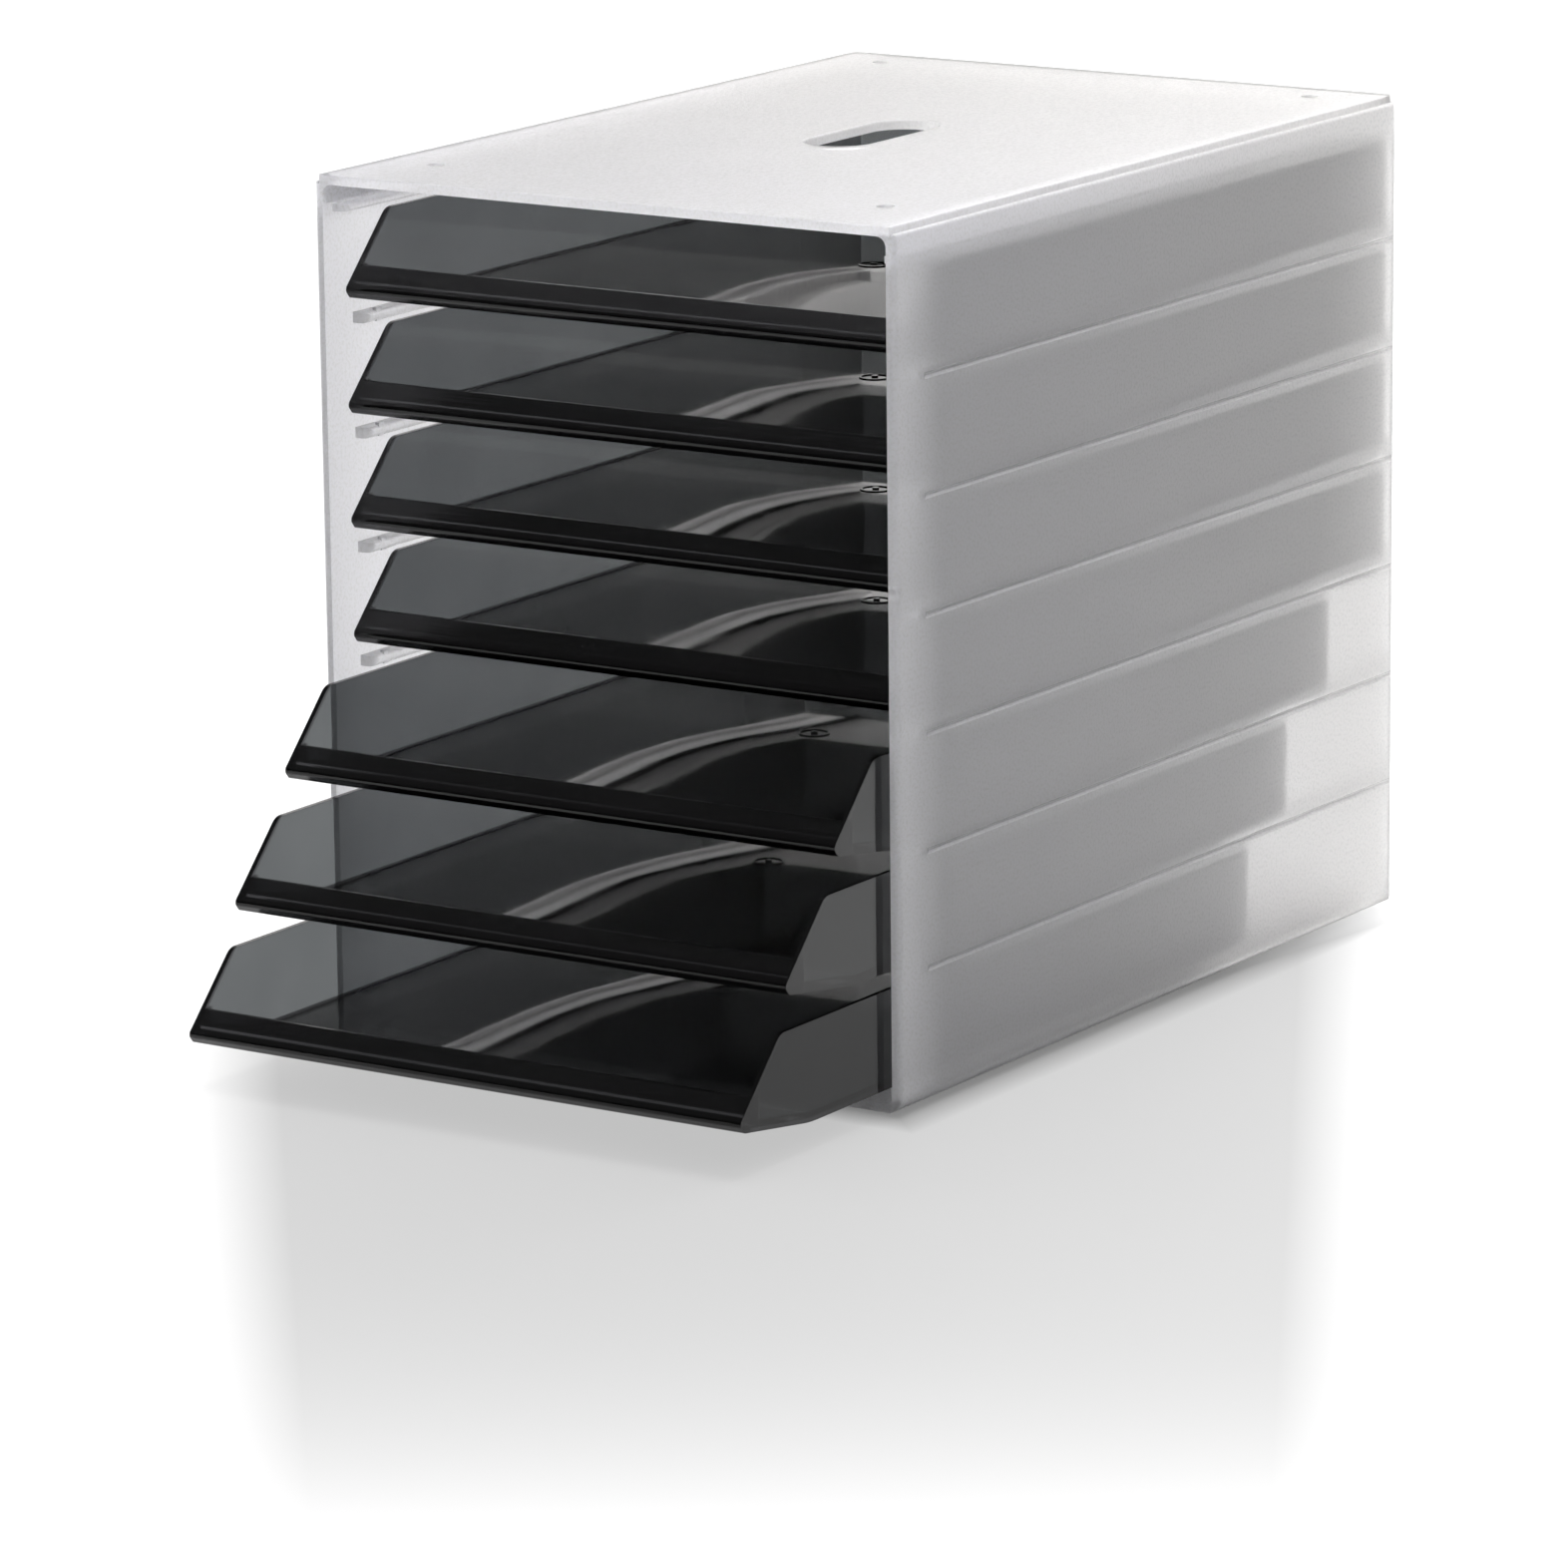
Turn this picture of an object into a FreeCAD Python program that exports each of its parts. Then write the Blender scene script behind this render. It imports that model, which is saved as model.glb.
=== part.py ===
import FreeCAD, Part
import math
import os

# Desk drawer box in millimetres: the open front faces negative Y, Z is up, feet stand on zero

# Housing outside and walls
housing_width = 250.0
housing_depth = 365.0
side_wall = 3.6
floor_wall = 3.6
back_wall = 2.6
side_bottom_radius = 7.0
back_edge_radius = 6.0
front_edge_radius = 2.0
wall_top_radius = 1.4
inner_edge_radius = 2.5

# Tiers of drawers, from the runner on the floor to the guide under the lid
tier_count = 7
tier_pitch = 43.0
bottom_runner_height = 5.8
top_guide_height = 2.6
ledge_gap = 0.8

# Runner ribs inside the side walls and the grooves outside them
runner_reach = 6.0
runner_setback = 17.0
end_runner_setback = 6.0
runner_end_radius = 5.4
runner_edge_radius = 1.6
groove_setback = 19.0
groove_run_in = 2.5
groove_mouth = 2.4
groove_root = 0.8
groove_depth = 1.2

# Stop nubs on the runners and the lugs under the drawers that meet them
stop_setback = 1.6
stop_length = 3.0
stop_width = 1.8
stop_height = 1.0
stop_inset = 0.2
lug_length = 4.0
lug_lift = 0.2
drawer_travel = 250.0

# Lid with its skirt, carry slot and stacking sockets
lid_plate = 3.7
lid_step = 2.6
lid_edge_radius = 0.7
skirt_depth = 7.3
skirt_wall = 1.4
rebate_depth = 2.0
rim_depth = 2.3
rim_corner_radius = 4.0
fit_gap = 0.3
slot_length = 71.0
slot_width = 27.0
slot_edge_radius = 0.9
socket_gap = 0.4
socket_depth = 1.0
socket_side_inset = 27.5
socket_front_inset = 38.0
socket_back_inset = 22.0

# Rubber feet
foot_height = 1.2
foot_radius = 3.0
foot_peg_radius = 1.6
foot_peg_length = 2.2

# Drawers
drawer_height = 36.5
drawer_head_gap = 2.5
drawer_side_gap = 1.7
drawer_setback = 10.2
drawer_back_gap = 0.8
drawer_wall = 1.8
drawer_floor = 2.0
drawer_edge_drop = 1.3
drawer_rear_radius = 8.0
drawer_plan_radius = 2.5
drawer_top_radius = 0.6
nose_height = 9.4
nose_under_height = 6.0
nose_under_setback = 2.8
nose_radius = 2.0
nose_solid_length = 8.0
ramp_length = 45.0
ramp_radius = 60.0
cut_setback = 26.2
cut_top_radius = 6.5
lip_height = 17.5
lip_wall = 2.2
lip_edge_radius = 0.8
lip_root_radius = 4.0
gate_setback = 173.0
gate_radius = 6.0
gate_ring_width = 0.9
gate_ring_height = 0.4
gate_nub_radius = 1.3
gate_nub_height = 0.8

# How far each drawer is drawn out, from the top one down
pull_fifth = 44.5
pull_sixth = 76.8
pull_seventh = 106.5
pulls = (0, 0, 0, 0, pull_fifth, pull_sixth, pull_seventh)

# Tools for cutting reach past the surface they cut by this much
overshoot = 5.0
# A rounding takes at most this share of the shorter side next to it
rounding_share = 0.48

# Heights and faces worked out from the sizes above
half_width = housing_width / 2
front_y = -housing_depth / 2
back_y = housing_depth / 2
under_z = foot_height
floor_z = under_z + floor_wall
first_runner_z = floor_z + bottom_runner_height
last_drawer_z = first_runner_z + tier_pitch * (tier_count - 1)
guide_z = last_drawer_z + drawer_height + drawer_head_gap
ledge_z = guide_z + top_guide_height + ledge_gap
lid_under_z = ledge_z + skirt_depth
top_z = lid_under_z + lid_plate
wall_top_z = top_z - lid_step
inner_half = half_width - side_wall
inner_back_y = back_y - back_wall
rebate_half = inner_half + rebate_depth
rebate_back_y = inner_back_y + back_wall * rebate_depth / side_wall
bed_radius = back_edge_radius - side_wall + rebate_depth
rib_height = tier_pitch - drawer_height - drawer_head_gap
stop_y = front_y + runner_setback + runner_end_radius + stop_setback
drawer_half = inner_half - drawer_side_gap
drawer_front_y = front_y + drawer_setback
drawer_length = inner_back_y - drawer_back_gap - drawer_front_y
drawer_inner_half = drawer_half - drawer_wall
floor_top = drawer_edge_drop + drawer_floor
socket_half = half_width - socket_side_inset
socket_radius = foot_radius + socket_gap
socket_ys = (front_y + socket_front_inset, back_y - socket_back_inset)


def outline(corners, place):
    """Closed wire through corners (a, b, radius), each corner rounded by its radius."""
    count = len(corners)
    marks = []
    for index in range(count):
        here = FreeCAD.Vector(corners[index][0], corners[index][1], 0)
        before = FreeCAD.Vector(corners[index - 1][0], corners[index - 1][1], 0)
        after = FreeCAD.Vector(corners[(index + 1) % count][0], corners[(index + 1) % count][1], 0)
        to_before = before - here
        to_after = after - here
        room = rounding_share * min(to_before.Length, to_after.Length)
        to_before.normalize()
        to_after.normalize()
        half_angle = to_before.getAngle(to_after) / 2
        radius = min(corners[index][2], room * math.tan(half_angle))
        if radius > 0:
            reach = radius / math.tan(half_angle)
            inward = to_before + to_after
            inward.normalize()
            middle = here + inward * (radius / math.sin(half_angle) - radius)
            marks.append((here + to_before * reach, middle, here + to_after * reach))
        else:
            marks.append((here, None, here))
    edges = []
    for index in range(count):
        first, middle, last = marks[index]
        if middle is not None:
            edges.append(Part.Arc(place(first), place(middle), place(last)).toShape())
        edges.append(Part.makeLine(place(last), place(marks[(index + 1) % count][0])))
    return Part.Wire(edges)


def bar_along_x(corners, start, end):
    """Solid with the given (y, z) outline, from start to end along X."""
    wire = outline(corners, lambda p: FreeCAD.Vector(start, p.x, p.y))
    return Part.Face(wire).extrude(FreeCAD.Vector(end - start, 0, 0))


def bar_along_y(corners, start, end):
    """Solid with the given (x, z) outline, from start to end along Y."""
    wire = outline(corners, lambda p: FreeCAD.Vector(p.x, start, p.y))
    return Part.Face(wire).extrude(FreeCAD.Vector(0, end - start, 0))


def bar_along_z(corners, start, end):
    """Solid with the given (x, y) outline, from start to end along Z."""
    wire = outline(corners, lambda p: FreeCAD.Vector(p.x, p.y, start))
    return Part.Face(wire).extrude(FreeCAD.Vector(0, 0, end - start))


def block(x0, x1, y0, y1, z0, z1):
    """Plain box between two opposite corners."""
    return Part.makeBox(x1 - x0, y1 - y0, z1 - z0, FreeCAD.Vector(x0, y0, z0))


def post(radius, x, y, z0, z1):
    """Upright round post."""
    return Part.makeCylinder(radius, z1 - z0, FreeCAD.Vector(x, y, z0))


def rectangle(a0, a1, b0, b1, low_left, low_right, high_right, high_left):
    """Corners of a rectangle with a rounding for each corner."""
    return [(a0, b0, low_left), (a1, b0, low_right), (a1, b1, high_right), (a0, b1, high_left)]


def both_sides(shape):
    """The shape and its mirror image on the other side of the middle plane."""
    return [shape, shape.mirror(FreeCAD.Vector(0, 0, 0), FreeCAD.Vector(1, 0, 0))]


def rounded_block(half, y0, y1, z0, z1, top, low, front, back):
    """Box with rounded top edges, lower edges (side, front, back) and upright edges."""
    shape = bar_along_y(rectangle(-half, half, z0, z1, low[0], low[0], top, top), y0, y1)
    plan = bar_along_z(rectangle(-half, half, y0, y1, front, front, back, back), z0, z1)
    side = bar_along_x(rectangle(y0, y1, z0, z1, low[1], low[2], top, top), -half, half)
    return shape.common(plan).common(side)


def well(half, y0, y1, z0, z1, back):
    """Box with its upright back edges rounded."""
    return bar_along_z(rectangle(-half, half, y0, y1, 0, 0, back, back), z0, z1)


def runner(low, high, setback):
    """One runner rib on the right wall, rounded at its front end and along its inner edges."""
    root = inner_half + side_wall * rounding_share
    tip = inner_half - runner_reach
    start = front_y + setback
    end = inner_back_y + back_wall * rounding_share
    section = rectangle(tip, root, low, high, runner_edge_radius, 0, 0, runner_edge_radius)
    plan = rectangle(tip, root, start, end, runner_end_radius, 0, 0, 0)
    return bar_along_y(section, start, end).common(bar_along_z(plan, low, high))


def groove(middle):
    """Cutter for one groove along the outside of the right wall, running out at the back."""
    root = half_width - groove_depth
    start = front_y + groove_setback
    slope = (groove_mouth - groove_root) / (2 * groove_depth)
    reach = groove_mouth / 2 + slope * overshoot
    outer = half_width + overshoot
    section = [(root, middle - groove_root / 2, 0), (outer, middle - reach, 0),
               (outer, middle + reach, 0), (root, middle + groove_root / 2, 0)]
    run = groove_run_in * (groove_depth + overshoot) / groove_depth
    plan = [(root, start + groove_run_in, 0), (outer, start + groove_run_in - run, 0),
            (outer, back_y + overshoot, 0), (root, back_y + overshoot, 0)]
    bar = bar_along_y(section, front_y, back_y + overshoot)
    return bar.common(bar_along_z(plan, middle - reach, middle + reach))


def make_body():
    """Floor, side walls and back wall in one piece, with runners, grooves and a ledge for the lid."""
    body = rounded_block(half_width, front_y, back_y, under_z, wall_top_z, wall_top_radius,
                         (side_bottom_radius, front_edge_radius, back_edge_radius),
                         front_edge_radius, back_edge_radius)
    sky = wall_top_z + overshoot
    hollow = bar_along_y(rectangle(-inner_half, inner_half, floor_z, sky,
                                   inner_edge_radius, inner_edge_radius, 0, 0),
                         front_y - overshoot, inner_back_y)
    hollow = hollow.common(well(inner_half, front_y - overshoot, inner_back_y, floor_z, sky,
                                inner_edge_radius))
    lid_bed = well(rebate_half, front_y - overshoot, rebate_back_y, lid_under_z, sky, bed_radius)
    skirt_bed = well(rebate_half, front_y + rim_depth, rebate_back_y, ledge_z, sky, bed_radius)
    body = body.cut([hollow, lid_bed, skirt_bed])
    adds = []
    cuts = []
    for tier in range(tier_count + 1):
        top = first_runner_z + tier_pitch * tier
        low = top - rib_height
        setback = runner_setback
        if tier == 0:
            low = under_z + floor_wall * rounding_share
            setback = end_runner_setback
        if tier == tier_count:
            low = guide_z
            top = guide_z + top_guide_height
            setback = end_runner_setback
        adds += both_sides(runner(low, top, setback))
        if tier < tier_count:
            tip = inner_half - runner_reach + stop_inset
            nub = block(tip, tip + stop_width, stop_y, stop_y + stop_length, low, top + stop_height)
            adds += both_sides(nub)
        if 0 < tier < tier_count:
            cuts += both_sides(groove(top - rib_height / 2))
    corner = block(inner_half - rim_corner_radius, inner_half + side_wall * rounding_share,
                   front_y, front_y + rim_depth, lid_under_z - rim_corner_radius, lid_under_z)
    bend = Part.makeCylinder(rim_corner_radius, rim_depth,
                             FreeCAD.Vector(inner_half - rim_corner_radius, front_y,
                                            lid_under_z - rim_corner_radius),
                             FreeCAD.Vector(0, 1, 0))
    adds += both_sides(corner.cut(bend))
    body = body.fuse(adds).cut(cuts)
    holes = []
    for x in (-socket_half, socket_half):
        for y in socket_ys:
            holes.append(post(foot_peg_radius + fit_gap, x, y, under_z - overshoot,
                              under_z + foot_peg_length + fit_gap))
    return body.cut(holes).removeSplitter()


def make_lid():
    """Top plate with a skirt, a round-ended carry slot and four stacking sockets."""
    half = rebate_half - fit_gap
    rear = rebate_back_y - fit_gap
    corner = bed_radius - fit_gap
    lid = rounded_block(half, front_y, rear, lid_under_z, top_z, lid_edge_radius, (0, 0, 0),
                        lid_edge_radius, corner)
    skirt = well(half, front_y + rim_depth + fit_gap, rear, ledge_z, lid_under_z, corner)
    room = well(half - skirt_wall, front_y, rear - skirt_wall, ledge_z, lid_under_z, corner - skirt_wall)
    lid = lid.fuse(skirt.cut(room))
    end_y = (slot_length - slot_width) / 2
    opening = block(-slot_width / 2, slot_width / 2, -end_y, end_y, lid_under_z - overshoot,
                    top_z + overshoot)
    for y in (-end_y, end_y):
        opening = opening.fuse(post(slot_width / 2, 0, y, lid_under_z - overshoot, top_z + overshoot))
    lid = lid.cut(opening.removeSplitter())
    rim = []
    for edge in lid.Edges:
        box = edge.BoundBox
        inside = max(-box.XMin, box.XMax) < slot_width and max(-box.YMin, box.YMax) < slot_length
        if inside and box.ZMin > top_z - fit_gap:
            rim.append(edge)
    lid = lid.makeFillet(min(slot_edge_radius, rounding_share * lid_plate), rim)
    for x in (-socket_half, socket_half):
        for y in socket_ys:
            lid = lid.cut(post(socket_radius, x, y, top_z - socket_depth, top_z + overshoot))
    return lid


def make_drawer():
    """One tray with its nose at y zero and its running edges at z zero."""
    side = [(nose_under_setback, nose_under_height, nose_radius), (ramp_length, 0, ramp_radius),
            (drawer_length, 0, drawer_rear_radius),
            (drawer_length, drawer_height, drawer_top_radius),
            (cut_setback, drawer_height, cut_top_radius), (0, nose_height, nose_radius)]
    plan = rectangle(-drawer_half, drawer_half, 0, drawer_length, 0, 0,
                     drawer_plan_radius, drawer_plan_radius)
    tray = bar_along_x(side, -drawer_half, drawer_half).common(bar_along_z(plan, 0, drawer_height))
    rise = drawer_height - nose_height
    slant = math.hypot(cut_setback, rise)
    lip_u = cut_setback * (lip_height - nose_height) / rise
    lip_back_u = lip_u + lip_wall * slant / rise
    ramp_slope = nose_under_height / (ramp_length - nose_under_setback)
    root_u = (floor_top + ramp_slope * ramp_length - lip_height + rise / cut_setback * lip_back_u)
    root_u = root_u / (rise / cut_setback + ramp_slope)
    root_v = floor_top + ramp_slope * (ramp_length - root_u)
    inner_back = drawer_length - drawer_wall
    room = [(lip_u, lip_height, 0), (lip_back_u, lip_height, lip_edge_radius),
            (root_u, root_v, lip_root_radius), (ramp_length, floor_top, ramp_radius),
            (inner_back, floor_top, drawer_rear_radius - drawer_wall),
            (inner_back, drawer_height + overshoot, 0),
            (-overshoot, drawer_height + overshoot, 0), (-overshoot, lip_height, 0)]
    inner_radius = drawer_plan_radius - drawer_wall
    inner_plan = rectangle(-drawer_inner_half, drawer_inner_half, -overshoot, inner_back, 0, 0,
                           inner_radius, inner_radius)
    room = bar_along_x(room, -drawer_inner_half, drawer_inner_half)
    room = room.common(bar_along_z(inner_plan, 0, drawer_height + overshoot))
    tray = tray.cut(room)
    start = nose_solid_length
    relief_back = drawer_length + overshoot
    relief = [(start, -overshoot, 0), (relief_back, -overshoot, 0), (relief_back, drawer_edge_drop, 0),
              (ramp_length, drawer_edge_drop, 0),
              (start, drawer_edge_drop + ramp_slope * (ramp_length - start), 0)]
    tray = tray.cut(bar_along_x(relief, -drawer_inner_half, drawer_inner_half))
    lug_u = stop_y + stop_length - drawer_front_y + drawer_travel + fit_gap
    lug_half = inner_half - runner_reach + stop_inset
    seat = floor_top - drawer_floor * rounding_share
    lug = block(lug_half, drawer_inner_half, lug_u, lug_u + lug_length, lug_lift, seat)
    tray = tray.fuse(both_sides(lug))
    ring = post(gate_radius, 0, gate_setback, seat, floor_top + gate_ring_height)
    ring = ring.cut(post(gate_radius - gate_ring_width, 0, gate_setback, seat, floor_top + gate_ring_height))
    nub = post(gate_nub_radius, 0, gate_setback, seat, floor_top + gate_nub_height)
    return tray.fuse([ring, nub]).removeSplitter()


def make_foot(x, y):
    """Round rubber foot with a peg that plugs into the floor."""
    pad = post(foot_radius, x, y, 0, under_z)
    return pad.fuse(post(foot_peg_radius, x, y, 0, under_z + foot_peg_length)).removeSplitter()


def save(name, shape):
    """Writes one piece as a single solid."""
    solid = shape.Solids[0]
    solid.exportStep("parts/" + name + ".step")
    print(name, len(shape.Solids), solid.isValid(), round(solid.Volume))


os.makedirs("parts", exist_ok=True)
save("body", make_body())
save("lid", make_lid())
tray = make_drawer()
for number in range(tier_count):
    placed = tray.copy()
    rise = last_drawer_z - tier_pitch * number
    placed.translate(FreeCAD.Vector(0, drawer_front_y - pulls[number], rise))
    save("drawer_" + str(number + 1), placed)
for side, x in (("left", -socket_half), ("right", socket_half)):
    for end, y in (("front", socket_ys[0]), ("back", socket_ys[1])):
        save("foot_" + end + "_" + side, make_foot(x, y))
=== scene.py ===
# %% [markdown]
# A desk drawer box in two plastics: a frosted housing, and seven smoke-grey
# drawers that slide in it. The shapes come finished from the CAD model, which
# is loaded here as the frame. What Blender adds is how they look: a camera
# where the photographer stood, studio light, and plastics that let light
# through.

# %% Load the frame
import math

import bpy
from mathutils import Matrix, Vector


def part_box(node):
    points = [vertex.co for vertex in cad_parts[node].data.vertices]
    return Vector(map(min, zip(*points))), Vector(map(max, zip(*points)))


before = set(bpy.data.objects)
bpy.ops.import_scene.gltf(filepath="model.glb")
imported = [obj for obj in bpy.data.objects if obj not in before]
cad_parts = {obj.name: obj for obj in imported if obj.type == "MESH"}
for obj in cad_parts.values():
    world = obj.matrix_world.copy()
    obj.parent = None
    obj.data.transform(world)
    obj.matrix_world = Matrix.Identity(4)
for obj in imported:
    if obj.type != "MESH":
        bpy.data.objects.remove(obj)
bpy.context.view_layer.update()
print("nodes:", ", ".join(sorted(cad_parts)))

# %% [markdown]
# The camera. A product photographer uses a long lens from a few metres away,
# so that the box looks nearly free of perspective. The place is given as a
# walk round the box: an angle to the right of its front, an angle above the
# horizon and a distance. The lens then turns a little off the box's middle,
# which leaves room for the floor below it.

# %% Camera
IMAGE_SIDE = 1572
SENSOR_WIDTH = 36.0
FOCAL_PIXELS = 8075.9
WALK_ROUND, WALK_UP, WALK_DISTANCE = math.radians(32.47), math.radians(11.56), 3.056
TURN, TILT, LEAN = math.radians(33.15), math.radians(13.19), math.radians(-0.62)
BOX_MIDDLE = Vector((0, 0, 0.161))


def direction(turn, rise):
    """The unit vector at an angle to the right of the front and an angle above the horizon."""
    return Vector((math.sin(turn) * math.cos(rise), -math.cos(turn) * math.cos(rise), math.sin(rise)))


lens = bpy.data.cameras.new("photo_camera")
lens.sensor_width = SENSOR_WIDTH
lens.lens = FOCAL_PIXELS / IMAGE_SIDE * SENSOR_WIDTH
camera = bpy.data.objects.new("photo_camera", lens)
backwards = direction(TURN, TILT)
rightwards = Vector((0, 0, 1)).cross(backwards).normalized()
upwards = backwards.cross(rightwards)
right = rightwards * math.cos(LEAN) + upwards * math.sin(LEAN)
up = upwards * math.cos(LEAN) - rightwards * math.sin(LEAN)
stand = Matrix.Translation(BOX_MIDDLE + direction(WALK_ROUND, WALK_UP) * WALK_DISTANCE)
aim = Matrix((right, up, backwards)).transposed().to_4x4()
camera.matrix_world = stand @ aim
bpy.context.scene.collection.objects.link(camera)
bpy.context.scene.camera = camera
print("lens of", round(lens.lens, 1), "mm at", [round(v, 3) for v in camera.location])

# %% [markdown]
# Shader maths. A material is a tree of nodes, and wiring it by hand is long.
# This class wraps one output socket, so that `1 - mask * 0.3` adds the Math
# nodes that it needs. Every other node comes from `add`: its type, then its
# settings, then a value or a link for each of its sockets.

# %% A wrapped socket
class Flow:
    """An output socket of a node tree, which takes part in sums and products."""

    def __init__(self, tree, socket=None):
        self.tree, self.socket = tree, socket

    def add(self, kind, settings=None, sockets=None, output=0):
        """A new node of a type, with its settings made and its sockets filled or linked."""
        node = self.tree.nodes.new(kind)
        for name, value in (settings or {}).items():
            setattr(node, name, value)
        for name, value in (sockets or {}).items():
            if isinstance(value, Flow):
                self.tree.links.new(value.socket, node.inputs[name])
            else:
                node.inputs[name].default_value = value
        return Flow(self.tree, node.outputs[output])

    def math(self, operation, first, second=0.0):
        """One Math node on two numbers or sockets."""
        return self.add("ShaderNodeMath", {"operation": operation}, {0: first, 1: second})

    def __add__(self, other):
        return self.math("ADD", self, other)

    __radd__ = __add__

    def __sub__(self, other):
        return self.math("SUBTRACT", self, other)

    def __rsub__(self, other):
        return self.math("SUBTRACT", other, self)

    def __mul__(self, other):
        return self.math("MULTIPLY", self, other)

    __rmul__ = __mul__

    def __pow__(self, other):
        return self.math("POWER", self, other)

    def between(self, low, high):
        """0 below low, 1 above high, and an even slope from one to the other."""
        sockets = {"Value": self, "From Min": low, "From Max": high}
        return self.add("ShaderNodeMapRange", {"clamp": True}, sockets)

    def blend(self, first, second):
        """The first colour where this is 0, the second where it is 1."""
        return self.add("ShaderNodeMix", {"data_type": "RGBA"}, {0: self, 6: first, 7: second}, 2)


def new_material(name):
    """An empty material, the start of its tree and its output node."""
    material = bpy.data.materials.new(name)
    material.use_nodes = True
    material.node_tree.nodes.clear()
    output = material.node_tree.nodes.new("ShaderNodeOutputMaterial")
    return material, Flow(material.node_tree), output


def plain_rgb(*levels):
    """An opaque colour from one or three linear levels."""
    return (*(levels * 3)[:3], 1.0)


print("shader maths ready")

# %% [markdown]
# Grain. Every finish here starts from noise in object coordinates, which are
# metres on these parts. A noise of 1000 cells a metre has grains of about a
# millimetre. Stretching the coordinates first makes streaks of it.

# %% Noise helpers
def noise(flow, cells, detail, stretch=(1, 1, 1)):
    """Cloudy noise from 0 to 1, with a number of cells a metre along each axis."""
    place = flow.add("ShaderNodeTexCoord", output="Object")
    sized = flow.add("ShaderNodeMapping", {}, {"Vector": place, "Scale": stretch})
    return flow.add("ShaderNodeTexNoise", {}, {"Vector": sized, "Scale": cells, "Detail": detail})


def relief(flow, height, depth):
    """The normal of a surface with a relief of a depth in metres."""
    return flow.add("ShaderNodeBump", {}, {"Height": height, "Distance": depth, "Strength": 1.0})


def place_of(flow, corner=(0, 0, 0)):
    """The three object coordinates of a point of the surface, in metres from a corner."""
    place = flow.add("ShaderNodeTexCoord", output="Object")
    moved = flow.add("ShaderNodeVectorMath", {"operation": "SUBTRACT"}, {0: place, 1: corner})
    return [flow.add("ShaderNodeSeparateXYZ", {}, {"Vector": moved}, axis) for axis in range(3)]


print("grain ready")

# %% [markdown]
# The frosted housing is one milky, see-through plastic. Its mould was etched,
# so the skin has a fine grain that scatters what passes through: the drawers
# show as soft grey shapes. A rough transmission gives that, with a share of
# plain scattering left in it for the milk. A milkier copy of the finish, which
# scatters more of the light back, goes in the gaps between the drawers, where
# the runner ribs are, in the strip beside the lid's skirt, along the front rim
# and beside the back wall. It stands partly for the thicker plastic there and
# partly for painted light: the light that comes through where no dark drawer
# stands behind the wall. The zone beside the back wall and the growth of the
# bands and the strip towards the back are painted light from behind. The bands
# repeat with the drawers, so the height is folded into one tier before it is
# compared with the band.

# %% Thick places and painted light
TIER_PITCH, BAND_FOOT, BAND_HEIGHT, BAND_EDGE = 0.043, 0.0042, 0.0046, 0.0012
BAND_LEVEL, BAND_SHARE, BAND_GROWTH, LOW_BAND_TOP = 0.36, 0.10, 0.0070, 0.020
STRIP_FOOT, STRIP_FULL, STRIP_TOP, STRIP_SHARE = 0.3045, 0.3105, 0.3186, 0.30
RIB_TIP, WALL_SKIN = 0.1154, 0.1236
RIM_LEVEL, RIM_START, RIM_FADE = 0.35, 0.003, 0.030
BACKLIT_WALL_LEVEL, BACKLIT_WALL_FADE = 0.25, 0.062
WALL_FRONT, WALL_END, WALL_BACK = -0.1825, 0.1810, 0.1825


def thick_plastic_and_painted_light(flow):
    """From 0 on the single wall to 1 where thick plastic and painted light make the skin milky."""
    across, along, height = place_of(flow)
    rear = along.between(WALL_FRONT, WALL_BACK)
    step = flow.math("FLOORED_MODULO", height - BAND_FOOT, TIER_PITCH)
    # painted light from behind: the bands and the strip grow towards the back
    growth = rear * rear
    above = (step - BAND_GROWTH * growth).between(BAND_HEIGHT, BAND_HEIGHT + 2 * BAND_EDGE)
    band = step.between(0, BAND_EDGE) * (1 - above)
    band = band * height.between(LOW_BAND_TOP, LOW_BAND_TOP + BAND_EDGE)
    band = BAND_LEVEL * band * (BAND_SHARE + (1 - BAND_SHARE) * growth)
    out = flow.math("ABSOLUTE", across)
    outside = out.between(WALL_SKIN, WALL_SKIN + BAND_EDGE)
    strip = height.between(STRIP_FOOT, STRIP_FULL)
    strip = strip * (1 - height.between(STRIP_TOP, STRIP_TOP + BAND_EDGE))
    strip = strip * (1 - outside * (1 - STRIP_SHARE) * (1 - growth ** 4))
    inward = along - WALL_FRONT
    # the front rim: partly thicker plastic, partly painted light
    rim = RIM_LEVEL * outside * inward.between(0, RIM_START) * (1 - inward.between(RIM_START, RIM_FADE))
    # painted light from behind, beside the back wall
    back = BACKLIT_WALL_LEVEL * outside * along.between(WALL_BACK - BACKLIT_WALL_FADE, WALL_BACK)
    beside = out.between(RIB_TIP, RIB_TIP + BAND_EDGE) * (1 - along.between(WALL_END, WALL_BACK))
    edges = flow.math("MAXIMUM", rim, back)
    return flow.math("MAXIMUM", flow.math("MAXIMUM", band, strip), edges) * beside


print("thick places: bands, strip, rim and back")

# %% [markdown]
# The two ends of the finish differ only in how much light passes. The colour
# is nearly white, with a painted tint of the room's light: a touch cool at the
# front and warm at the back, where the room is. The last few millimetres at the
# back are painted greyer, for the shade where one looks into the length of the
# back wall. The grain darkens the white in specks about as wide as a pencil line.

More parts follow.
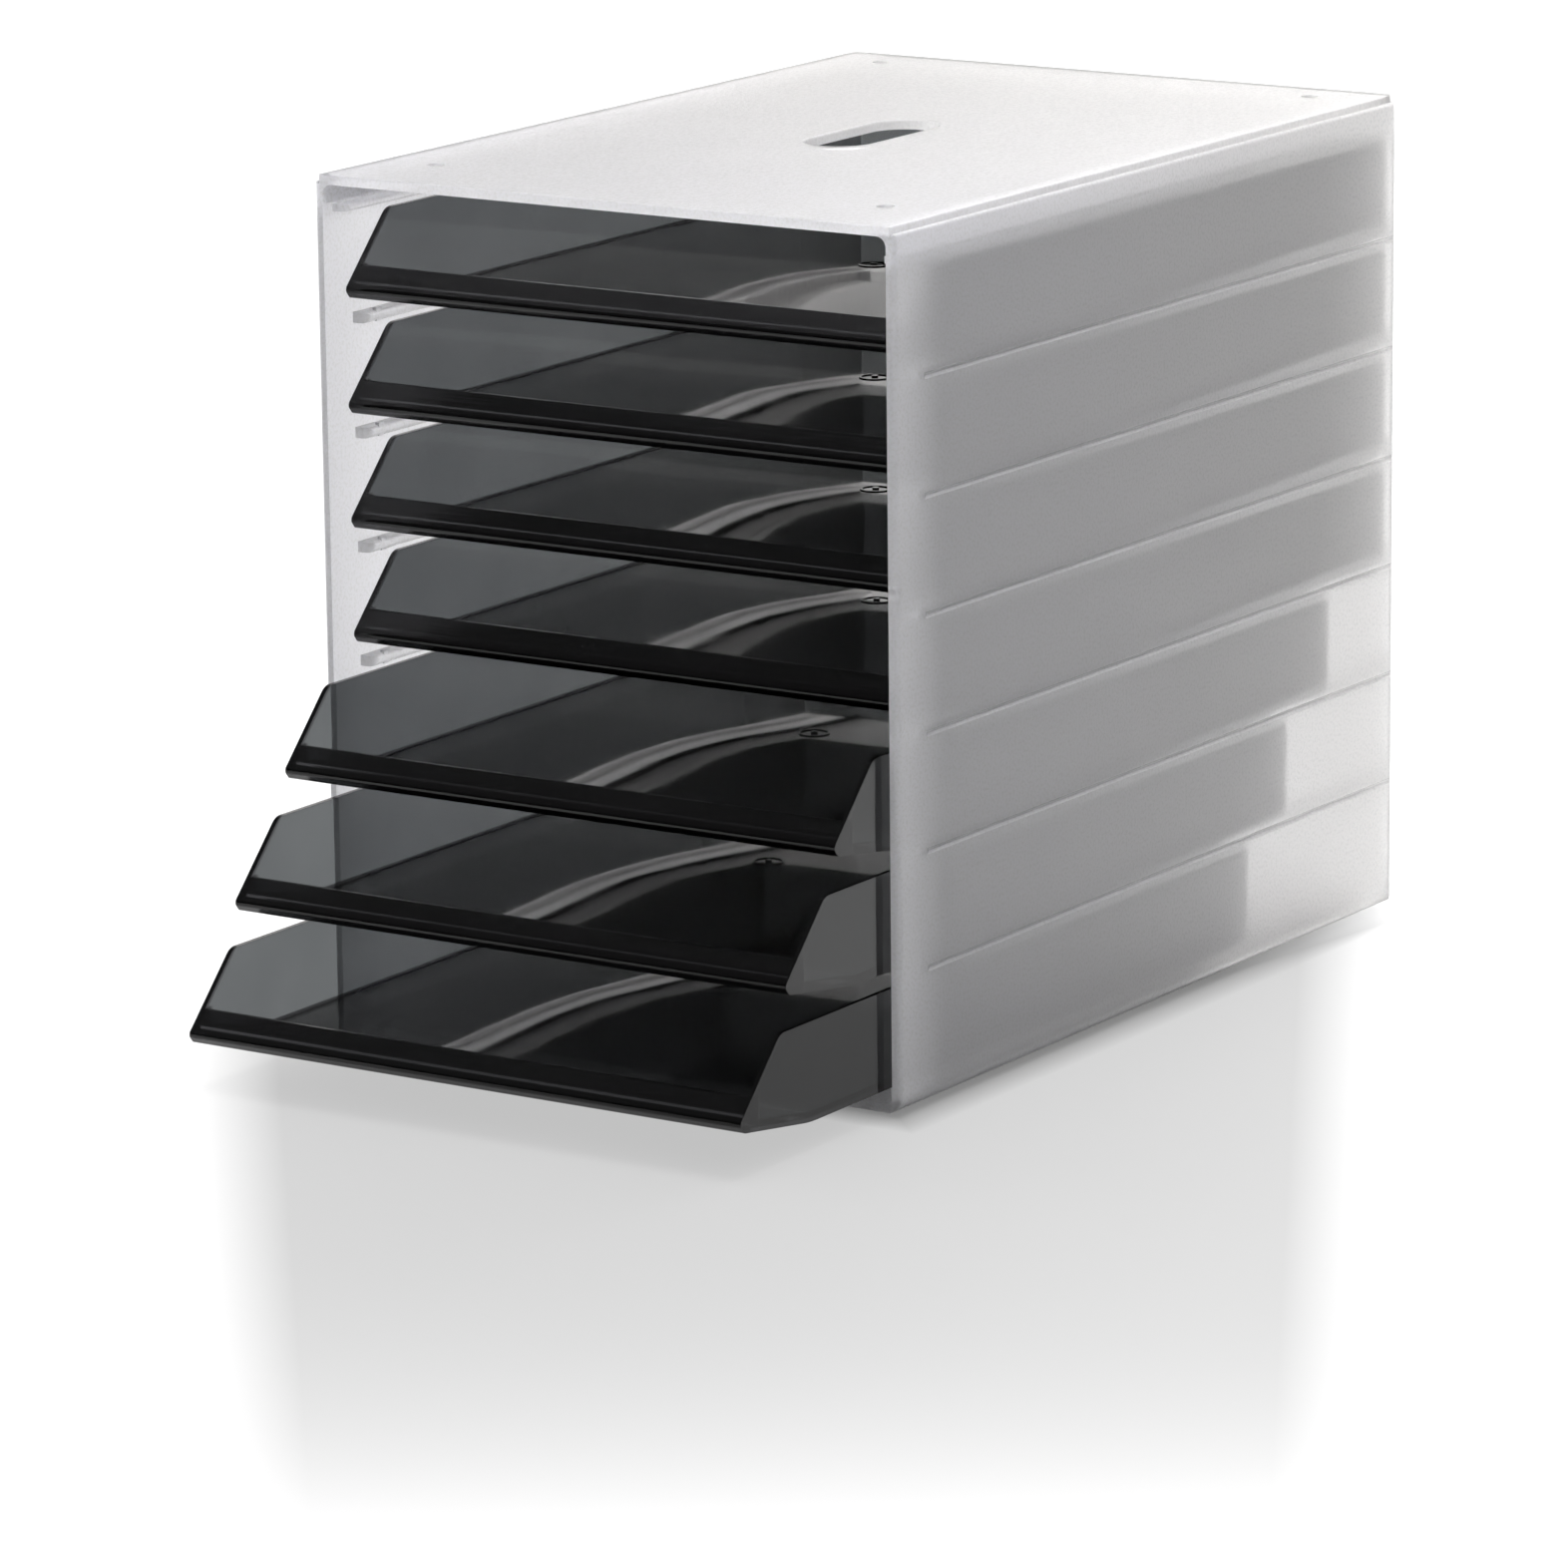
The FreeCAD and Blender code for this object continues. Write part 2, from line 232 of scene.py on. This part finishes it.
# %% Frosted plastic
COOL_LIT_FRONT_WHITE, WARM_LIT_BACK_WHITE = (0.952, 0.950, 0.984), (0.995, 0.982, 0.975)
BACK_EDGE_SHADE_GREY, CORNER_START, CORNER_END = 0.88, 0.175, 0.181
GRAIN_CELLS, GRAIN_LOW, GRAIN_HIGH = 800, 0.46, 0.66
GRAIN_GREY, GRAIN_DEPTH, CLOUD_CELLS = 0.83, 0.00012, 16
SATIN, GRAIN_SATIN, CLOUD_SATIN = 0.34, 0.12, 0.05
THIN_CLEARNESS, THICK_CLEARNESS = 0.957, 0.30


def make_frosted():
    """Milky etched plastic, milkier at thick plastic and at painted light, with painted tint and shade.
    """
    material, flow, output = new_material("frosted_plastic")
    etched = noise(flow, GRAIN_CELLS, 2.0)
    cloud = noise(flow, CLOUD_CELLS, 3.0)
    along = place_of(flow)[1]
    rear = along.between(WALL_FRONT, WALL_BACK)
    # painted tint of the room's light: cool at the front, warm at the back
    white = rear.blend(plain_rgb(*COOL_LIT_FRONT_WHITE), plain_rgb(*WARM_LIT_BACK_WHITE))
    # painted shade at the back edge
    white = along.between(CORNER_START, CORNER_END).blend(white, plain_rgb(BACK_EDGE_SHADE_GREY))
    colour = etched.between(GRAIN_LOW, GRAIN_HIGH).blend(white, plain_rgb(GRAIN_GREY))
    finish = {
        "Base Color": colour,
        "Roughness": SATIN + GRAIN_SATIN * etched + CLOUD_SATIN * cloud,
        "IOR": 1.49,
        "Normal": relief(flow, etched, GRAIN_DEPTH),
    }
    thin_finish = finish | {"Transmission Weight": THIN_CLEARNESS}
    thick_finish = finish | {"Transmission Weight": THICK_CLEARNESS}
    thin = flow.add("ShaderNodeBsdfPrincipled", {}, thin_finish)
    # the milkier copy, for thick plastic and for painted light
    thick = flow.add("ShaderNodeBsdfPrincipled", {}, thick_finish)
    skin = flow.add("ShaderNodeMixShader", {}, {0: thick_plastic_and_painted_light(flow), 1: thin, 2: thick})
    material.node_tree.links.new(skin.socket, output.inputs["Surface"])
    return material


frosted = make_frosted()
print("made", frosted.name)

# %% [markdown]
# The drawers are clear polystyrene with a smoke-grey dye. A face that looks
# into the length of the sheet lets next to no light through: the slanting cut
# at the front, the lip under it, the rims and the crease between wall and
# floor are nearly black. They could be painted face by face, but the CAD mesh
# stays as it is, so they are found by their place in the drawer, measured back
# from its nose and up from its running edge.
#
# A thin wide moulding never cools quite flat: the floor stays about a
# millimetre high in its middle, round the point where it was filled. Nobody
# sees that height, but it bends what the floor mirrors, so it is worked out
# here as a low dome for the relief.

# %% Places in a drawer
DOME_HEIGHT, DOME_ACROSS, DOME_ALONG = 0.0013, 0.085, 0.048
DOME_SETBACK, DOME_LEAN = 0.168, -0.006
CUT_RUN, CUT_RISE, NOSE_HEIGHT = 0.0262, 0.0271, 0.0094
LIP_HEIGHT, LIP_LENGTH, WALL_HEIGHT = 0.0175, 0.0115, 0.0365
FLOOR_TOP, RAMP_LENGTH, RAMP_SLOPE, INNER_HALF = 0.0033, 0.045, 0.142, 0.1179
EDGE_DEPTH, RIM_SHARE = 0.0005, 0.6


def dome(flow, across, along):
    """The height of a bell curve with its own width along each axis, and of a slight lean."""
    sides = across * (1 / DOME_ACROSS)
    steps = (along - DOME_SETBACK) * (1 / DOME_ALONG)
    bell = flow.math("EXPONENT", (sides * sides + steps * steps) * -0.5)
    return DOME_HEIGHT * bell + DOME_LEAN * along


def deep_faces(flow, across, along, up, above_floor):
    """1 on the cut, the lip and the crease of wall and floor, less on the rims, 0 elsewhere."""
    slant = math.hypot(CUT_RUN, CUT_RISE)
    behind_cut = along * (CUT_RISE / slant) - (up - NOSE_HEIGHT) * (CUT_RUN / slant)
    cut = 1 - behind_cut.between(EDGE_DEPTH, 2 * EDGE_DEPTH)
    lip = 1 - along.between(LIP_LENGTH, LIP_LENGTH + EDGE_DEPTH)
    lip = lip * (1 - up.between(LIP_HEIGHT, LIP_HEIGHT + EDGE_DEPTH))
    rim = RIM_SHARE * up.between(WALL_HEIGHT - EDGE_DEPTH, WALL_HEIGHT - 0.5 * EDGE_DEPTH)
    inset = INNER_HALF - flow.math("ABSOLUTE", across)
    crease = 1 - above_floor.between(EDGE_DEPTH, 2 * EDGE_DEPTH)
    crease = crease * (1 - inset.between(EDGE_DEPTH, 2 * EDGE_DEPTH))
    crease = crease * inset.between(-EDGE_DEPTH, -0.5 * EDGE_DEPTH)
    return flow.math("MAXIMUM", flow.math("MAXIMUM", cut, lip), flow.math("MAXIMUM", rim, crease))


print("places in a drawer: dome, cut, lip, rims and crease")

# %% [markdown]
# The smoke plastic. One wall lets about an eighth of the light through, and
# the thicker floor far less. The inside was polished in the mould. The outer
# walls and the edges are duller, and the edges have fine streaks across from
# the cutter that made the mould. Faint haze and fine lines along the slide are
# what paper leaves. The outer walls are painted pale towards the back end: this
# is painted light, for the light from behind that reaches the back of each
# drawer in the housing. All this is measured from the drawer's own corner, so
# each drawer has its own copy of the finish.

# %% Smoke plastic
WALL_TINT, HAZE_TINT = (0.129, 0.137, 0.141), (0.149, 0.157, 0.161)
FLOOR_TINT, EDGE_TINT = (0.030, 0.031, 0.032), (0.045, 0.045, 0.048)
HAZE_CELLS, RIPPLE_CELLS, RIPPLE_HEIGHT = 28, 22, 0.00006
LINE_CELLS, LINE_STRETCH = 900, (1.0, 0.02, 1.0)
STREAK_CELLS, STREAK_STRETCH, STREAK_HEIGHT = 600, (0.03, 1.0, 1.0), 0.00005
POLISH, HAZE_ROUGHNESS, LINE_ROUGHNESS, EDGE_ROUGHNESS = 0.03, 0.03, 0.04, 0.14
MIRROR_TINT, DULL_LEVEL = 0.65, 0.1
# painted light from behind: a pale fade on the outer walls at each drawer's back end
DRAWER_BACKLIGHT_LEVEL, DRAWER_BACKLIGHT_LENGTH, DRAWER_BACKLIGHT_GREY, DRAWER_BACKLIGHT_ROUGHNESS = 0.6, 0.036, 0.62, 0.6


def make_smoke(name, corner, far_corner):
    """Clear smoke-grey plastic with dark edges, painted backlight, a domed floor, haze and fine lines.
    """
    material, flow, output = new_material("smoke_plastic_" + name)
    across, along, up = place_of(flow, (0, corner.y, corner.z))
    haze = noise(flow, HAZE_CELLS, 4.0)
    lines = noise(flow, LINE_CELLS, 2.0, LINE_STRETCH).between(0.62, 0.80)
    ripple = noise(flow, RIPPLE_CELLS, 1.0)
    streaks = noise(flow, STREAK_CELLS, 3.0, STREAK_STRETCH)
    above_floor = up - FLOOR_TOP - RAMP_SLOPE * flow.math("MAXIMUM", RAMP_LENGTH - along, 0)
    wall = haze.between(0.25, 0.75).blend(plain_rgb(*WALL_TINT), plain_rgb(*HAZE_TINT))
    sheet = above_floor.between(EDGE_DEPTH, 2 * EDGE_DEPTH).blend(plain_rgb(*FLOOR_TINT), wall)
    deep = deep_faces(flow, across, along, up, above_floor)
    height = dome(flow, across, along) + RIPPLE_HEIGHT * ripple + STREAK_HEIGHT * deep * streaks
    soiled = HAZE_ROUGHNESS * haze.between(0.4, 0.8) + LINE_ROUGHNESS * lines
    finish = {
        "Base Color": deep.blend(sheet, plain_rgb(*EDGE_TINT)),
        "Roughness": POLISH + soiled + EDGE_ROUGHNESS * deep,
        "IOR": 1.50,
        "Specular Tint": plain_rgb(MIRROR_TINT),
        "Transmission Weight": 1.0,
        "Normal": relief(flow, height, 1.0),
    }
    clear = flow.add("ShaderNodeBsdfPrincipled", {}, finish)
    dull = flow.add("ShaderNodeBsdfPrincipled", {}, finish | {"Specular IOR Level": DULL_LEVEL})
    skin_start = far_corner.x - 2 * EDGE_DEPTH
    outer = flow.math("ABSOLUTE", across).between(skin_start, skin_start + EDGE_DEPTH)
    unpolished = flow.math("MAXIMUM", outer, deep)
    skin = flow.add("ShaderNodeMixShader", {}, {0: unpolished, 1: clear, 2: dull})
    # painted light from behind, fading forward from the back end on the outer walls
    from_back = (far_corner.y - corner.y) - along
    painted_backlight = DRAWER_BACKLIGHT_LEVEL * outer * flow.math("EXPONENT", from_back * (-1 / DRAWER_BACKLIGHT_LENGTH))
    backlit_finish = {"Base Color": plain_rgb(DRAWER_BACKLIGHT_GREY), "Roughness": DRAWER_BACKLIGHT_ROUGHNESS}
    pale = flow.add("ShaderNodeBsdfPrincipled", {}, backlit_finish)
    skin = flow.add("ShaderNodeMixShader", {}, {0: painted_backlight, 1: skin, 2: pale})
    material.node_tree.links.new(skin.socket, output.inputs["Surface"])
    return material


drawers = sorted(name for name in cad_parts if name.startswith("drawer"))
smoke = {name: make_smoke(name, *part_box(name)) for name in drawers}
print("made", len(smoke), "smoke finishes")

# %% [markdown]
# The feet are small discs of soft grey rubber: matt, slightly speckled with
# dust and a little paler where they wear.

# %% Foot rubber
RUBBER_GREY, RUBBER_WORN = (0.30, 0.30, 0.31), (0.42, 0.42, 0.43)
SPECKLE_CELLS, SPECKLE_DEPTH = 2600, 0.0001


def make_rubber():
    """Matt grey rubber with a fine speckle."""
    material, flow, output = new_material("foot_rubber")
    speckle = noise(flow, SPECKLE_CELLS, 3.0)
    finish = {
        "Base Color": speckle.between(0.35, 0.7).blend(plain_rgb(*RUBBER_GREY), plain_rgb(*RUBBER_WORN)),
        "Roughness": 0.75 + 0.15 * speckle,
        "Normal": relief(flow, speckle, SPECKLE_DEPTH),
    }
    skin = flow.add("ShaderNodeBsdfPrincipled", {}, finish)
    material.node_tree.links.new(skin.socket, output.inputs["Surface"])
    return material


rubber = make_rubber()
print("made", rubber.name)

# %% [markdown]
# The name of a CAD node says what it is made of: a drawer gets its own smoke
# grey, a foot the rubber, and the body and the lid share the frosted plastic.
# Whatever finish a node came with is taken off first.

# %% Finishes for the CAD nodes
def finish_of(name):
    """The finish of a node, told by its name."""
    if name.startswith("foot"):
        return rubber
    return smoke.get(name, frosted)


for name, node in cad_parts.items():
    node.data.materials.clear()
    node.data.materials.append(finish_of(name))
print("finishes set on", len(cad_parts), "nodes")

# %% [markdown]
# The studio. The box stands on a shooting table: a white sheet lit from
# beneath, so that shadows stay light and the ground runs out to plain white.
# A shadow is painted into the glow: it is weaker in a pool where the box stands.
# The pool is a wedge that opens from a tip far in front of the box, so its
# sides look upright in the picture, and towards the tip it fades out slowly.
# Close to the walls a painted shade darkens the sheet, most of all at the front.

# %% Floor
FLOOR_REACH = 4.0
POOL_TIP, POOL_TURN = (1.607, -2.526, 0.0), math.radians(33.15)
POOL_SPREAD, POOL_EDGE = 0.0775, 0.035
POOL_END, POOL_NEAR, POOL_FAR, POOL_SLANT = 2.284, 2.744, 2.974, 0.45
POOL_SHADOW_GLOW, TABLE_GLOW, TABLE_GREY = 0.53, 0.95, 0.12
SHADE_GLOW, SHADE_REACH, SHADE_END = 0.20, 0.014, 0.06
CORNERS = ((-1, -1), (1, -1), (1, 1), (-1, 1))
floor_mesh = bpy.data.meshes.new("floor")
places = [(FLOOR_REACH * x, FLOOR_REACH * y, 0) for x, y in CORNERS]
floor_mesh.from_pydata(places, [], [(0, 1, 2, 3)])
floor = bpy.data.objects.new("floor", floor_mesh)
bpy.context.scene.collection.objects.link(floor)
floor_paint, flow, output = new_material("floor_white")
east, north, _ = place_of(flow, POOL_TIP)
across = math.cos(POOL_TURN) * east + math.sin(POOL_TURN) * north
away = math.cos(POOL_TURN) * north - math.sin(POOL_TURN) * east
# painted shadow: the glow is weaker in a pool where the box stands
within = (POOL_SPREAD * away - flow.math("ABSOLUTE", across)).between(0, POOL_EDGE)
beyond = (away - POOL_SLANT * across).between(POOL_FAR, POOL_FAR + POOL_EDGE)
towards = 1 - away.between(POOL_END, POOL_NEAR)
painted_shadow_pool = within * (1 - beyond) * (1 - towards ** 4)
glow = painted_shadow_pool.blend(plain_rgb(TABLE_GLOW), plain_rgb(POOL_SHADOW_GLOW))
# painted shade along the foot of the box, most at the front
foot_low, foot_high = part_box("body")
x, y, _ = place_of(flow, (foot_low + foot_high) / 2)
past_side = flow.math("ABSOLUTE", x) - (foot_high.x - foot_low.x) / 2
past_end = flow.math("ABSOLUTE", y) - (foot_high.y - foot_low.y) / 2
clear_of_box = flow.math("MAXIMUM", past_side, past_end).between(-SHADE_REACH / 4, SHADE_REACH)
clear_of_box = flow.math("MAXIMUM", clear_of_box, y.between(SHADE_END, foot_high.y))
sheet_finish = {
    "Base Color": plain_rgb(TABLE_GREY),
    "Roughness": 0.6,
    "Specular IOR Level": 0.2,
    "Emission Color": clear_of_box.blend(plain_rgb(SHADE_GLOW), glow),
    "Emission Strength": 1.0,
}
table = flow.add("ShaderNodeBsdfPrincipled", {}, sheet_finish)
floor_paint.node_tree.links.new(table.socket, output.inputs["Surface"])
floor_mesh.materials.append(floor_paint)
print("floor of", 2 * FLOOR_REACH, "m")

# %% [markdown]
# The room. See-through plastic shows whatever stands round it, so the room is
# built from a few soft patches of light on a dark dome: walls near the
# horizon, fills above them and a ceiling. Light adds up, so the strengths can
# be found by rendering the box under one patch at a time and weighing those
# pictures against the tones wanted. Most of it comes from the back, the left
# and above. Nothing shines straight into the open front, which stays in half
# shade. The back of the room is a touch warmer than its front.

# %% World
def spread(sight, towards, inner, outer):
    """1 within an inner angle of a direction, 0 beyond an outer one, in degrees."""
    dot = {"operation": "DOT_PRODUCT"}
    nearness = sight.add("ShaderNodeVectorMath", dot, {0: sight, 1: towards}, 1)
    return nearness.between(math.cos(math.radians(outer)), math.cos(math.radians(inner)))


COOL_WHITE, WARM_WHITE = (0.975, 0.98, 1.0), (1.0, 0.985, 0.97)
COOL_END, WARM_END = -0.6, 0.8
# turn to the right of the front, rise above the horizon, inner and outer edge in degrees, level
ROOM_LIGHTS = {
    "back_wall": (180, 8, 5, 42, 2.0),
    "back_left_wall": (225, 8, 5, 42, 0.5),
    "left_wall": (270, 8, 5, 42, 3.0),
    "front_right_fill": (60, 42, 5, 36, 2.1),
    "back_right_fill": (120, 42, 5, 36, 0.5),
    "back_fill": (180, 42, 5, 36, 1.75),
    "left_fill": (300, 42, 5, 36, 0.15),
    "overhead": (180, 84, 4, 24, 6.5),
}
world = bpy.data.worlds.new("white_room")
world.use_nodes = True
world.node_tree.nodes.clear()
room = Flow(world.node_tree)
sight = room.add("ShaderNodeTexCoord", output="Generated")
level = 0.0
for turn, rise, inner, outer, strength in ROOM_LIGHTS.values():
    towards = direction(math.radians(turn), math.radians(rise))
    level = level + strength * spread(sight, towards, inner, outer)
depth = room.add("ShaderNodeSeparateXYZ", {}, {"Vector": sight}, 1)
tint = depth.between(COOL_END, WARM_END).blend(plain_rgb(*COOL_WHITE), plain_rgb(*WARM_WHITE))
light = room.add("ShaderNodeBackground", {}, {"Color": tint, "Strength": level})
world_output = world.node_tree.nodes.new("ShaderNodeOutputWorld")
world.node_tree.links.new(light.socket, world_output.inputs["Surface"])
bpy.context.scene.world = world
print("world of", len(ROOM_LIGHTS), "patches of light")

# %% [markdown]
# The lamp. One softbox hangs over the back edge and brightens the far half of
# the lid. A softbox is a lamp behind a white cloth, so its light has no hard
# edge. The Standard view keeps the tones as they are worked out.

# %% Lamp
LAMP_PLACE, LAMP_AIM = Vector((0.0, 0.50, 0.95)), Vector((0.0, 0.12, 0.32))
LAMP_WIDTH, LAMP_DEPTH, LAMP_WATTS = 0.5, 0.3, 3.55
lamp = bpy.data.lights.new("lamp_over_back", "AREA")
lamp.shape = "RECTANGLE"
lamp.size, lamp.size_y = LAMP_WIDTH, LAMP_DEPTH
lamp.energy = LAMP_WATTS
softbox = bpy.data.objects.new("lamp_over_back", lamp)
softbox.location = LAMP_PLACE
softbox.rotation_mode = "QUATERNION"
softbox.rotation_quaternion = (LAMP_AIM - LAMP_PLACE).to_track_quat("-Z", "Y")
bpy.context.scene.collection.objects.link(softbox)
bpy.context.scene.view_settings.view_transform = "Standard"
print("softbox of", LAMP_WATTS, "watts")
